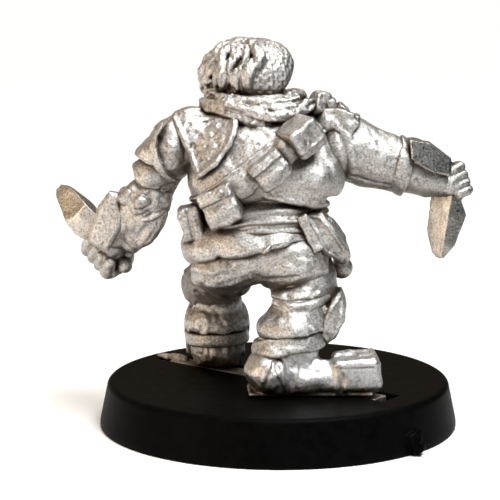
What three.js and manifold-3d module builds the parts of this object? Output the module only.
// A 28 mm scale metal gaming miniature: a stocky adventurer with two daggers, cast with a tab under
// the feet that stands in the slot of a round plastic base. Millimetres, +Z up. The figure faces -Y,
// so its left side is +X. Every sculpted item is a solid of its own, cut clear of its neighbours.
import * as THREE from "three";
import { mergeVertices } from "three/addons/utils/BufferGeometryUtils.js";
import Module from "manifold-3d";

const wasm = await Module();
wasm.setup();

// ---------------------------------------------------------------- driving dimensions
const BASE_RADIUS = 12.5;
const BASE_HEIGHT = 3.2;
const BASE_TOP_RADIUS = 11.92;
const BASE_LAND = 0.4; // upright land at the foot of the tapered wall
const BASE_WALL = 1.1;
const BASE_PLATE = 1.2;
const BASE_EDGE = 0.18; // chamfer at the top edge
const SLOT_LENGTH = 20.2;
const SLOT_WIDTH = 2.0;
const SLOT_ANGLE = THREE.MathUtils.degToRad(141.6);
const SLOT_OFFSET = -0.35; // the slot's centre, along its own length
const TAB_LENGTH = 18.4;
const TAB_THICKNESS = 1.5;
const TAB_FOOT = 0.25; // how far the tab's lower edge stays above the table
const GAP = 0.12; // left open between two neighbouring sub-parts
const SLIVER = 0.02; // detail finer than this is smoothed away after the cutting
const SOLE = BASE_HEIGHT + GAP; // height of the soles
const FRAME_SHIFT = -1.36; // puts the middle of the whole model's box over the origin

// ---------------------------------------------------------------- the pose, as points in space
const point = (x, y, z) => new THREE.Vector3(x, y, z);
const POSE = {
  leftHip: point(3.7, 0.4, 11.6),
  leftKnee: point(4.7, -4.9, 8.6),
  leftAnkle: point(4.35, -4.0, 4.6),
  leftToe: point(4.85, -8.7, 4.1),
  rightHip: point(-1.3, 0.9, 11.4),
  rightKnee: point(-2.1, 1.9, 8.7),
  rightAnkle: point(-0.4, 4.7, 4.9),
  rightToe: point(-5.7, 4.75, 4.5),
  pelvis: point(1.3, 0.6, 11.6),
  waist: point(1.3, 0.3, 14.4),
  chest: point(1.0, -0.1, 18.2),
  shoulders: point(1.2, -0.4, 20.0),
  neck: point(1.5, -0.9, 22.1),
  skull: point(1.95, -1.8, 24.05),
  leftShoulder: point(6.7, 0.1, 19.7),
  leftElbow: point(9.3, 0.4, 15.8),
  leftWrist: point(11.4, -1.2, 12.9),
  leftFist: point(11.45, -1.5, 11.9),
  rightShoulder: point(-4.2, -0.2, 19.3),
  rightElbow: point(-8.1, 0.0, 18.2),
  rightWrist: point(-11.2, -0.8, 17.0),
  rightFist: point(-12.0, -0.9, 16.9),
};
const LEFT_BLADE_TIP = point(15.7, -4.0, 16.0);
const RIGHT_BLADE_TIP = point(-11.3, -0.9, 11.9);
// The bandolier lies in one plane: over the right shoulder and down to the left hip.
const STRAP_NORMAL = point(0.6, 0, 0.8).normalize();
const STRAP_CENTRE = point(1.3, 0, 18.1);
const STRAP_WIDTH = 1.7;
const STRAP_TURN = Math.atan2(STRAP_NORMAL.x, STRAP_NORMAL.z);
const LEFT_KNEE_FACING = point(0.1, -1, 0.1).normalize();
const RIGHT_KNEE_FACING = point(-1, -0.25, 0.1).normalize();

// ---------------------------------------------------------------- geometry helpers
const SAME_VERTEX = 1e-4; // corners closer than this are one corner
const ROUND_STEPS = 3; // facets along a quarter circle
const RIM_EASE = 0.2; // how far a cuff's or ring's rim is eased
const BASE_FACETS = 60; // facets around the base
const SKIRT_FACETS = 18; // facets around the jacket skirt

// Facets around a round shape of this radius: an even number, finer for a larger one.
const facets = (radius) => 2 * Math.round(THREE.MathUtils.clamp(3 + radius, 4, 7));

// A closed three.js geometry as a manifold-3d solid, for cutting and joining.
function solid(geometry) {
  const bare = geometry.clone();
  bare.deleteAttribute("normal");
  bare.deleteAttribute("uv");
  const merged = mergeVertices(bare, SAME_VERTEX);
  return new wasm.Manifold(
    new wasm.Mesh({
      numProp: 3,
      vertProperties: merged.attributes.position.array,
      triVerts: new Uint32Array(merged.index.array),
    }),
  );
}

const place = (geometry, position, turn = [0, 0, 0]) =>
  geometry
    .applyMatrix4(new THREE.Matrix4().makeRotationFromEuler(new THREE.Euler(...turn)))
    .translate(position.x, position.y, position.z);

function ellipsoid(centre, radii, grow = 0, turn = [0, 0, 0]) {
  const around = facets(Math.max(...radii));
  const ball = new THREE.SphereGeometry(1, around, around / 2 + 1);
  ball.rotateX(Math.PI / 2);
  ball.scale(radii[0] + grow, radii[1] + grow, radii[2] + grow);
  return solid(place(ball, centre, turn));
}

// Turns geometry built along +Y so that it runs from start to end.
function aim(geometry, start, end) {
  const along = end.clone().sub(start).normalize();
  const turn = new THREE.Quaternion().setFromUnitVectors(point(0, 1, 0), along);
  return geometry.applyQuaternion(turn).translate(start.x, start.y, start.z);
}

// A tapered limb with round ends.
function limb(start, end, startRadius, endRadius, grow = 0) {
  const length = start.distanceTo(end);
  const profile = [];
  for (let i = 0; i <= ROUND_STEPS; i++) {
    const turn = ((i / ROUND_STEPS - 1) * Math.PI) / 2;
    const r = startRadius + grow;
    profile.push(new THREE.Vector2(r * Math.cos(turn), r * Math.sin(turn)));
  }
  for (let i = 0; i <= ROUND_STEPS; i++) {
    const turn = ((i / ROUND_STEPS) * Math.PI) / 2;
    const r = endRadius + grow;
    profile.push(new THREE.Vector2(r * Math.cos(turn), length + r * Math.sin(turn)));
  }
  profile[0].x = 0;
  profile[profile.length - 1].x = 0;
  return solid(aim(new THREE.LatheGeometry(profile, facets(startRadius)), start, end));
}

// A ring, cuff or cylinder along an axis, with its rim eased.
function drum(start, end, startRadius, endRadius, grow = 0) {
  const length = start.distanceTo(end);
  const ease = Math.min(RIM_EASE, length / 4);
  const a = startRadius + grow;
  const b = endRadius + grow;
  const profile = [
    [0, -grow],
    [a - ease, -grow],
    [a, ease - grow],
    [b, length - ease + grow],
    [b - ease, length + grow],
    [0, length + grow],
  ].map(([r, y]) => new THREE.Vector2(r, y));
  return solid(aim(new THREE.LatheGeometry(profile, facets(startRadius)), start, end));
}

// A box with rounded upright edges: size is along X, Y and Z before it is turned.
function block(centre, size, grow = 0, turn = [0, 0, 0], corner = 0.35) {
  const [w, t, h] = size.map((side) => side + 2 * grow);
  const r = Math.min(corner, w / 3, h / 3);
  const outline = new THREE.Shape();
  outline.moveTo(-w / 2 + r, -h / 2);
  outline.lineTo(w / 2 - r, -h / 2);
  outline.absarc(w / 2 - r, -h / 2 + r, r, -Math.PI / 2, 0);
  outline.absarc(w / 2 - r, h / 2 - r, r, 0, Math.PI / 2);
  outline.absarc(-w / 2 + r, h / 2 - r, r, Math.PI / 2, Math.PI);
  outline.absarc(-w / 2 + r, -h / 2 + r, r, Math.PI, 1.5 * Math.PI);
  const slab = new THREE.ExtrudeGeometry(outline, { depth: t, bevelEnabled: false, curveSegments: 3 });
  slab.translate(0, 0, -t / 2);
  slab.rotateX(Math.PI / 2);
  return solid(place(slab, centre, turn));
}

// A prism through everything along Y, from an outline of [x, z] corners.
function prismThrough(corners, near, far) {
  const outline = new THREE.Shape(corners.map(([x, z]) => new THREE.Vector2(x, z)));
  const prism = new THREE.ExtrudeGeometry(outline, { depth: far - near, bevelEnabled: false });
  prism.rotateX(Math.PI / 2);
  prism.translate(0, far, 0);
  return solid(prism);
}

// Everything on the side of a plane that its normal points to, near the model.
function halfSpace(centre, normal) {
  const reach = 40;
  const big = new THREE.BoxGeometry(reach, reach, reach).translate(0, reach / 2, 0);
  return solid(aim(big, centre, centre.clone().add(normal)));
}

// ---------------------------------------------------------------- the plastic base
function slottedBase() {
  const profile = [
    [BASE_RADIUS - BASE_WALL, 0],
    [BASE_RADIUS, 0],
    [BASE_RADIUS, BASE_LAND],
    [BASE_TOP_RADIUS, BASE_HEIGHT - BASE_EDGE],
    [BASE_TOP_RADIUS - BASE_EDGE, BASE_HEIGHT],
    [0, BASE_HEIGHT],
    [0, BASE_HEIGHT - BASE_PLATE],
    [BASE_TOP_RADIUS - BASE_WALL, BASE_HEIGHT - BASE_PLATE],
    [BASE_RADIUS - BASE_WALL, 0],
  ].map(([r, z]) => new THREE.Vector2(r, z));
  const shell = new THREE.LatheGeometry(profile, BASE_FACETS).rotateX(Math.PI / 2);
  const slot = new THREE.BoxGeometry(SLOT_LENGTH, SLOT_WIDTH, 4 * BASE_PLATE);
  slot.translate(SLOT_OFFSET, 0, BASE_HEIGHT);
  slot.rotateZ(SLOT_ANGLE);
  // What is left of the moulding gate, low on the wall.
  const gate = block(point(-9.0, 8.55, 0.75), [1.0, 0.9, 1.3], 0, [0.1, 0.15, 0.76], 0.2);
  return solid(shell).subtract(solid(slot)).add(gate);
}

function baseTab(grow) {
  const depth = SOLE - GAP - TAB_FOOT;
  const strip = new THREE.BoxGeometry(
    TAB_LENGTH + 2 * grow,
    TAB_THICKNESS + 2 * grow,
    depth + 2 * grow,
  );
  strip.translate(SLOT_OFFSET, 0, TAB_FOOT + depth / 2);
  strip.rotateZ(SLOT_ANGLE);
  // The tab stands proud of the base beside the left heel.
  const proud = block(point(6.9, -5.45, SOLE), [2.0, TAB_THICKNESS - 0.2, 0.9], grow, [0, 0, SLOT_ANGLE]);
  return solid(strip).add(proud);
}

// ---------------------------------------------------------------- legs and boots
const overSole = (grow) => halfSpace(point(0, 0, SOLE - grow), point(0, 0, 1));

function leftBootFoot(grow) {
  const { leftAnkle: ankle, leftToe: toe } = POSE;
  const heel = ellipsoid(point(ankle.x, ankle.y, 4.1), [2.05, 1.95, 1.5], grow);
  return heel
    .add(limb(point(ankle.x, ankle.y, 4.35), toe, 1.85, 1.25, grow))
    .intersect(overSole(grow));
}

function leftGreave(grow) {
  const centre = point(4.45, -4.7, 5.6);
  const outer = ellipsoid(centre, [2.6, 2.7, 2.9], grow);
  const inner = ellipsoid(centre, [2.2, 2.3, 2.6], -grow);
  return outer
    .subtract(inner)
    .intersect(halfSpace(point(0, -5.3 + grow, 0), point(0, -1, 0)))
    .intersect(halfSpace(point(0, 0, 4.5 - grow), point(0, 0, 1)));
}

function kneePad(centre, radii, facing, grow) {
  const thickness = 0.55;
  const rim = 1.1; // from the cup's centre to the plane of its rim
  const cup = ellipsoid(centre, radii, grow);
  const hollow = ellipsoid(centre, radii.map((r) => r - thickness), -grow);
  const edge = centre.clone().addScaledVector(facing, rim - grow);
  return cup.subtract(hollow).intersect(halfSpace(edge, facing));
}

function rightBootFoot(grow) {
  const { rightAnkle: ankle, rightToe: toe } = POSE;
  const heel = ellipsoid(point(0.55, 5.0, 4.6), [1.62, 1.9, 1.6], grow);
  const instep = limb(point(0.2, 4.95, 4.3), toe, 1.5, 1.15, grow);
  const shaft = limb(ankle, point(-0.7, 4.1, 6.1), 1.8, 1.9, grow);
  const toeCap = block(point(-5.45, 4.75, 4.35), [3.2, 2.9, 2.5], grow, [0, 0.05, 0.04], 0.9);
  return heel.add(instep).add(shaft).add(toeCap).intersect(overSole(grow));
}

// ---------------------------------------------------------------- trunk
const trouserSeat = (grow) => ellipsoid(POSE.pelvis, [4.55, 3.55, 2.35], grow);

const torso = (grow) =>
  ellipsoid(POSE.chest, [5.55, 4.25, 3.9], grow).add(
    ellipsoid(POSE.shoulders, [5.5, 3.5, 2.1], grow),
  );

const aboveJacketHem = halfSpace(point(0, 0, 15.55), point(0.12, 0, 1));

function jacketSkirt(grow) {
  const flare = 1.16; // its hem against its top
  const height = 2.9;
  const [halfWidth, halfDepth] = [4.55, 3.85];
  const bell = new THREE.CylinderGeometry(1, flare, height + 2 * grow, SKIRT_FACETS);
  bell.rotateX(Math.PI / 2);
  bell.scale(halfWidth + grow, halfDepth + grow, 1);
  return solid(place(bell, point(POSE.pelvis.x, POSE.pelvis.y - 0.15, 12.95), [0, 0.12, 0]));
}

function scarf(grow) {
  const { neck } = POSE;
  const [ringRadius, rollRadius] = [2.8, 1.05];
  const roll = new THREE.TorusGeometry(ringRadius, rollRadius + grow, 7, 18);
  roll.scale(1.12, 0.98, 1);
  const knot = ellipsoid(point(neck.x + 0.2, neck.y - 3.1, neck.z - 0.7), [1.25, 0.85, 0.95], grow);
  return solid(place(roll, neck, [-0.12, 0.05, 0])).add(knot);
}

function bandolier(grow) {
  const thickness = 0.55;
  const reach = 30; // wider than the torso
  const band = new THREE.BoxGeometry(reach, reach, STRAP_WIDTH + 2 * grow);
  const slab = solid(place(band, STRAP_CENTRE, [0, STRAP_TURN, 0]));
  return torso(thickness + grow).intersect(slab).subtract(torso(GAP - grow));
}

// ---------------------------------------------------------------- head
const head = (grow) =>
  ellipsoid(POSE.skull, [2.75, 2.85, 2.4], grow).add(
    ellipsoid(point(2.75, -3.05, 22.9), [1.75, 1.9, 1.7], grow),
  );

function hair(grow) {
  const mop = ellipsoid(point(2.0, -1.75, 24.3), [3.6, 3.5, 2.62], grow);
  // The face looks a little to the figure's left.
  const face = halfSpace(point(3.6, -3.5, 24.0), point(0.57, -0.82, -0.45));
  return mop.subtract(head(GAP)).subtract(face);
}

// ---------------------------------------------------------------- left arm
function shoulderPad(grow) {
  const centre = point(3.9, -0.3, 19.1);
  const outer = ellipsoid(centre, [4.5, 4.75, 3.45], grow);
  const inner = ellipsoid(centre, [4.0, 4.25, 2.95], -grow);
  const corners = [
    [7.5, 21.5],
    [5.2, 22.6],
    [2.7, 22.4],
    [2.75, 19.8],
    [3.8, 18.6],
    [5.9, 17.7],
    [6.6, 19.4],
  ];
  return outer.subtract(inner).intersect(prismThrough(corners, -1.5, 6));
}

function elbowGuard(grow) {
  const cup = ellipsoid(point(9.3, 0.55, 15.75), [1.75, 1.55, 1.45], grow, [0, 0.4, 0]);
  return cup.add(drum(point(9.55, 1.6, 15.75), point(9.62, 2.25, 15.78), 0.62, 0.5, grow));
}

// A leaf blade with a ridge along it: a flat diamond section that swells, then tapers to a blunt tip.
function blade(root, tip, width, depth, flat, grow) {
  const length = root.distanceTo(tip);
  const stations = [
    [0, 0.62],
    [0.32, 1],
    [0.75, 0.66],
    [0.97, 0.3],
  ];
  const ring = (y, share) => {
    const w = (width / 2) * share + grow;
    const d = (depth / 2) * (0.5 + share / 2) + grow;
    return [w, y, 0, 0, y, d, -w, y, 0, 0, y, -d];
  };
  const corners = stations.flatMap(([share, wide]) => ring(share * length, wide));
  corners.push(0, -grow, 0, 0, length + grow, 0);
  const last = stations.length - 1;
  const rootPoint = stations.length * 4;
  const faces = [];
  for (let s = 0; s < last; s++)
    for (let k = 0; k < 4; k++) {
      const a = s * 4 + k;
      const b = s * 4 + ((k + 1) % 4);
      faces.push(a, a + 4, b + 4, a, b + 4, b);
    }
  for (let k = 0; k < 4; k++) {
    faces.push(rootPoint, k, (k + 1) % 4);
    faces.push(rootPoint + 1, last * 4 + ((k + 1) % 4), last * 4 + k);
  }
  const shape = new THREE.BufferGeometry();
  shape.setAttribute("position", new THREE.Float32BufferAttribute(corners, 3));
  shape.setIndex(faces);
  // Width lies across both the blade's length and the direction that its flat faces.
  const along = tip.clone().sub(root).normalize();
  const across = point(...flat).cross(along).normalize();
  const facing = across.clone().cross(along).normalize();
  shape.applyMatrix4(new THREE.Matrix4().makeBasis(across, along, facing));
  shape.translate(root.x, root.y, root.z);
  return solid(shape);
}

const along = (start, end, distance) =>
  start.clone().addScaledVector(end.clone().sub(start).normalize(), distance);

// ---------------------------------------------------------------- the parts, inner ones last
// Each part is a shape that can be grown evenly. A part earlier in the list keeps its whole shape,
// and a later one is cut back around it, so the list runs from what lies on top to what is beneath.
const METAL = { color: 0xb9b6b0, roughness: 0.38, metalness: 1 };
const PLASTIC = { color: 0x0c0c0d, roughness: 0.5, metalness: 0 };
const parts = [];
const part = (group, name, shape) => parts.push({ group, name, shape });

// The kit. A pouch's size is its width, depth and height before it is turned.
const pouch = (centre, size, turn) => (grow) => block(centre, size, grow, turn);
part("kit", "pouch_shoulder", pouch(point(-1.8, 3.95, 20.3), [3.1, 1.7, 2.5], [0.5, STRAP_TURN, 0.35]));
part("kit", "pouch_back", pouch(point(0.75, 4.75, 18.35), [2.9, 1.5, 2.5], [0.12, STRAP_TURN, 0.05]));
part("kit", "pouch_hip", pouch(point(4.0, 4.35, 16.05), [3.1, 1.6, 2.7], [-0.2, STRAP_TURN, -0.35]));
part("kit", "pouch_side", pouch(point(6.15, 2.1, 14.9), [2.3, 1.4, 2.5], [-0.1, 0.35, -1.15]));

const STUDS = 4;
const STUD_PITCH = 0.74;
const STUD_DROP = 0.112; // how the row curves down over the shoulder
for (let i = 0; i < STUDS; i++) {
  const back = point(-2.75 - STUD_PITCH * i, 1.05, 22.55 - STUD_DROP * i * i);
  const front = back.clone().add(point(-0.1, -2.15, 0.1));
  part("kit", `shoulder_stud_${i + 1}`, (g) => drum(back, front, 0.36, 0.3, g));
}
part("kit", "shoulder_strap_plate", (g) =>
  block(point(-3.85, 0, 21.75), [3.3, 1.5, 1.2], g, [0, -0.3, 0], 0.5),
);
part("kit", "sheath_ball", (g) => ellipsoid(point(-4.45, -0.9, 10.9), [0.75, 0.75, 0.75], g));
part("kit", "hip_sheath", (g) => limb(point(-3.35, 2.2, 14.3), point(-4.5, -0.1, 12.0), 1.0, 0.85, g));
part("kit", "belt_buckle", (g) => block(point(1.4, -3.75, 14.2), [2.1, 0.7, 1.5], g, [0, 0, 0], 0.3));

// The right arm, held out, with its dagger hanging from the fist.
part("right_arm", "right_dagger_blade", (g) =>
  blade(point(-11.95, -0.9, 15.75), RIGHT_BLADE_TIP, 2.75, 0.75, [0, 1, 0], g),
);
part("right_arm", "right_dagger_grip", (g) =>
  drum(point(-12.35, -0.9, 18.7), point(-11.97, -0.9, 15.95), 0.5, 0.55, g),
);
part("right_arm", "right_hand", (g) => ellipsoid(POSE.rightFist, [1.3, 1.45, 1.4], g));
part("right_arm", "right_vambrace", (g) =>
  block(point(-10.5, 0.1, 18.55), [3.4, 2.6, 0.8], g, [-0.6, -0.42, 0]),
);
part("right_arm", "right_sleeve_cuff", (g) =>
  drum(point(-8.15, 0.0, 18.3), point(-9.05, -0.2, 18.1), 2.1, 2.15, g),
);
part("right_arm", "right_forearm", (g) => limb(POSE.rightElbow, POSE.rightWrist, 1.75, 1.45, g));

// The left arm, armoured, with its dagger pointing out and up.
part("left_arm", "left_dagger_blade", (g) =>
  blade(along(POSE.leftFist, LEFT_BLADE_TIP, 1.75), LEFT_BLADE_TIP, 2.9, 0.75, [0.35, 0.9, 0.1], g),
);
part("left_arm", "left_dagger_grip", (g) => {
  const pommel = along(POSE.leftFist, LEFT_BLADE_TIP, -2.0);
  const guard = along(POSE.leftFist, LEFT_BLADE_TIP, 1.6);
  return drum(pommel, guard, 0.5, 0.5, g);
});
part("left_arm", "left_hand", (g) => ellipsoid(POSE.leftFist, [1.75, 1.4, 1.4], g, [0, 0.25, 0]));
part("left_arm", "left_vambrace", (g) =>
  block(point(11.75, 0.05, 14.4), [2.5, 0.75, 4.3], g, [-0.3, -0.32, -0.2]),
);
part("left_arm", "left_gauntlet_cuff", (g) =>
  drum(point(9.35, -0.5, 14.3), point(10.6, -1.0, 13.3), 1.75, 1.3, g),
);
part("left_arm", "left_forearm", (g) => limb(POSE.leftElbow, POSE.leftWrist, 1.3, 1.1, g));
part("left_arm", "left_elbow_guard", elbowGuard);
part("left_arm", "left_shoulder_pad", shoulderPad);
part("left_arm", "left_lame_lower", (g) =>
  ellipsoid(point(9.0, -0.7, 17.6), [1.65, 2.0, 1.1], g, [0, 0.5, 0]),
);
part("left_arm", "left_lame_upper", (g) =>
  ellipsoid(point(8.35, -0.6, 19.0), [1.75, 2.3, 1.15], g, [0, 0.6, 0]),
);

// The head and what is worn over the trunk, then the trunk itself.
part("head", "hair", hair);
part("head", "head", head);
part("head", "scarf", scarf);
part("trunk", "bandolier_strap", bandolier);
part("left_arm", "left_sleeve", (g) => limb(POSE.leftShoulder, point(8.5, 0.3, 17.0), 2.05, 1.75, g));
part("right_arm", "right_sleeve", (g) => limb(POSE.rightShoulder, point(-7.5, 0.0, 18.3), 2.3, 1.85, g));
part("trunk", "jacket_torso", (g) => torso(g).intersect(aboveJacketHem));
part("trunk", "waist_sash", (g) => ellipsoid(POSE.waist, [4.65, 3.75, 1.75], g, [0, 0.1, 0]));

// The legs: each boot is a foot, a strap and a gathered top.
part("legs", "left_knee_pad", (g) => kneePad(point(4.85, -4.9, 8.5), [2.45, 2.4, 2.3], LEFT_KNEE_FACING, g));
part("legs", "left_greave", leftGreave);
part("legs", "left_boot_strap", (g) =>
  drum(point(4.4, -4.05, 4.65), point(4.4, -4.15, 5.7), 2.2, 2.25, g),
);
part("legs", "left_boot_foot", leftBootFoot);
part("legs", "left_boot_top", (g) => ellipsoid(point(4.42, -4.3, 6.8), [2.35, 2.3, 1.55], g));
part("legs", "right_knee_pad", (g) => kneePad(point(-2.3, 2.0, 7.9), [2.3, 2.5, 2.2], RIGHT_KNEE_FACING, g));
part("legs", "right_boot_strap", (g) =>
  drum(point(-0.75, 4.25, 5.95), point(-0.9, 3.85, 7.1), 2.25, 2.35, g),
);
part("legs", "right_boot_foot", rightBootFoot);
part("legs", "right_boot_top", (g) =>
  ellipsoid(point(-1.0, 3.4, 8.35), [2.42, 2.4, 1.6], g, [0.25, 0, 0]),
);
part("trunk", "jacket_skirt", (g) => jacketSkirt(g).subtract(trouserSeat(GAP - g)));
part("legs", "left_trouser_leg", (g) => limb(POSE.leftHip, POSE.leftKnee, 2.6, 2.2, g));
part("legs", "right_trouser_leg", (g) => limb(POSE.rightHip, POSE.rightKnee, 2.45, 2.3, g));
part("legs", "trouser_seat", trouserSeat);
part("legs", "base_tab", baseTab);

// ---------------------------------------------------------------- cutting the parts clear
const overlaps = (a, b) => [0, 1, 2].every((i) => a.min[i] < b.max[i] && b.min[i] < a.max[i]);
const largest = (made) =>
  made
    .simplify(SLIVER)
    .decompose()
    .reduce((a, b) => (a.volume() > b.volume() ? a : b));

function cutClear() {
  const grown = [];
  return parts.map(({ group, name, shape }) => {
    let made = shape(0);
    for (const above of grown)
      if (overlaps(above.boundingBox(), made.boundingBox())) made = made.subtract(above);
    grown.push(shape(GAP));
    return { group, name, solid: largest(made) };
  });
}

// ---------------------------------------------------------------- the scene graph
function meshOf(name, made, look) {
  const { vertProperties, triVerts, numProp } = made.getMesh();
  const corners = new Float32Array((vertProperties.length / numProp) * 3);
  for (let i = 0; i < corners.length / 3; i++)
    corners.set(vertProperties.subarray(i * numProp, i * numProp + 3), i * 3);
  const geometry = new THREE.BufferGeometry();
  geometry.setAttribute("position", new THREE.BufferAttribute(corners, 3));
  geometry.setIndex(new THREE.BufferAttribute(triVerts, 1));
  geometry.computeBoundingBox();
  const centre = geometry.boundingBox.getCenter(point(0, 0, 0));
  geometry.translate(-centre.x, -centre.y, -centre.z);
  geometry.computeVertexNormals();
  const mesh = new THREE.Mesh(geometry, new THREE.MeshStandardMaterial(look));
  mesh.name = name;
  mesh.position.copy(centre);
  return mesh;
}

const model = new THREE.Group();
const miniature = new THREE.Group();
miniature.position.x = FRAME_SHIFT;
model.add(miniature);

const groups = {};
for (const name of ["legs", "trunk", "head", "left_arm", "right_arm", "kit"]) {
  groups[name] = new THREE.Group();
  miniature.add(groups[name]);
}
miniature.add(meshOf("slotted_base", slottedBase(), PLASTIC));
for (const { group, name, solid: made } of cutClear()) groups[group].add(meshOf(name, made, METAL));

export default model;
